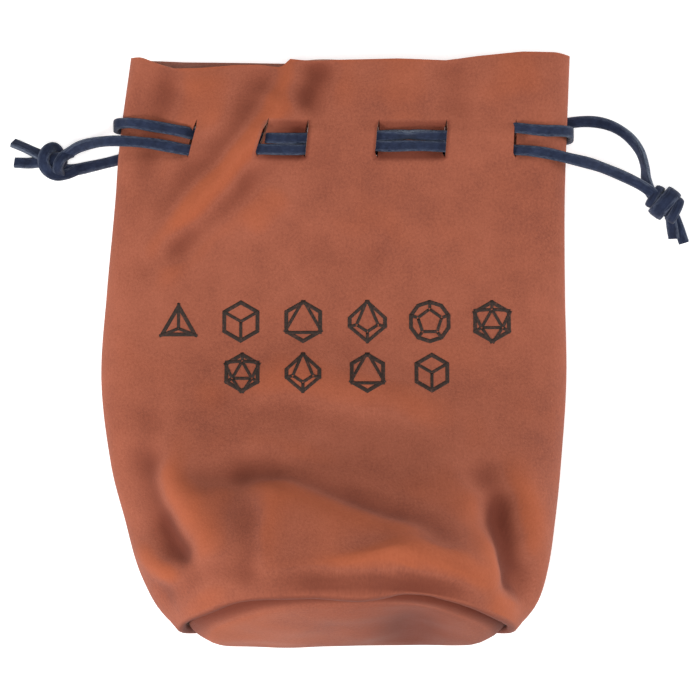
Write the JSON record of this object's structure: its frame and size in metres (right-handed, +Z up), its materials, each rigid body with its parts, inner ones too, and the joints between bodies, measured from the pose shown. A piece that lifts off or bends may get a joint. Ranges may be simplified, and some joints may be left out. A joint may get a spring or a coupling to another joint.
{
  "type": "drawstring dice bag",
  "caption": "Soft leather drawstring pouch with a round base, lying empty on its back, woven with flat laces that pull from each side.",
  "frame": {"origin": "middle of the bag's footprint without its laces' ends and turns, on the surface that it lies on", "axes": "+X across the bag to the right lace's knot, +Y from the round base to the mouth, +Z up out of the front"},
  "size_m": [0.2005, 0.1739, 0.0691],
  "materials": {
    "leather": "matte suede",
    "lace": "matte suede",
    "thread": "matte"
  },
  "bodies": {
    "bag": {"wall": "leather", "base": "leather", "back_seam_thread": "thread", "base_seam_thread": "thread", "left_lace_front_weave": "lace", "left_lace_back_weave": "lace", "right_lace_front_weave": "lace", "right_lace_back_weave": "lace"},
    "mouth_left": {"right_lace_turn": "lace"},
    "mouth_right": {"left_lace_turn": "lace"},
    "left_pull": {"left_lace_front_end": "lace", "left_lace_back_end": "lace", "left_lace_knot": "lace", "left_lace_tail_upper": "lace", "left_lace_tail_lower": "lace"},
    "right_pull": {"right_lace_front_end": "lace", "right_lace_back_end": "lace", "right_lace_knot": "lace", "right_lace_tail_upper": "lace", "right_lace_tail_lower": "lace"}
  },
  "joints": [
    {"name": "close_left", "type": "slide", "parent": "bag", "child": "mouth_left", "axis": [1, 0, 0], "range_m": [0, 0.034], "deforming": ["wall", "back_seam_thread", "left_lace_front_weave", "left_lace_back_weave", "right_lace_front_weave", "right_lace_back_weave"]},
    {"name": "close_right", "type": "slide", "parent": "bag", "child": "mouth_right", "axis": [-1, 0, 0], "range_m": [0, 0.034], "deforming": ["wall", "back_seam_thread", "left_lace_front_weave", "left_lace_back_weave", "right_lace_front_weave", "right_lace_back_weave"]},
    {"name": "pull_left", "type": "slide", "parent": "mouth_left", "child": "left_pull", "axis": [-1, 0, 0], "range_m": [0, 0.068]},
    {"name": "pull_right", "type": "slide", "parent": "mouth_right", "child": "right_pull", "axis": [1, 0, 0], "range_m": [0, 0.068]}
  ],
  "couplings": [
    {"joint": "close_right", "follows": "close_left", "ratio": 1},
    {"joint": "pull_left", "follows": "close_left", "ratio": 2},
    {"joint": "pull_right", "follows": "close_left", "ratio": 2}
  ]
}
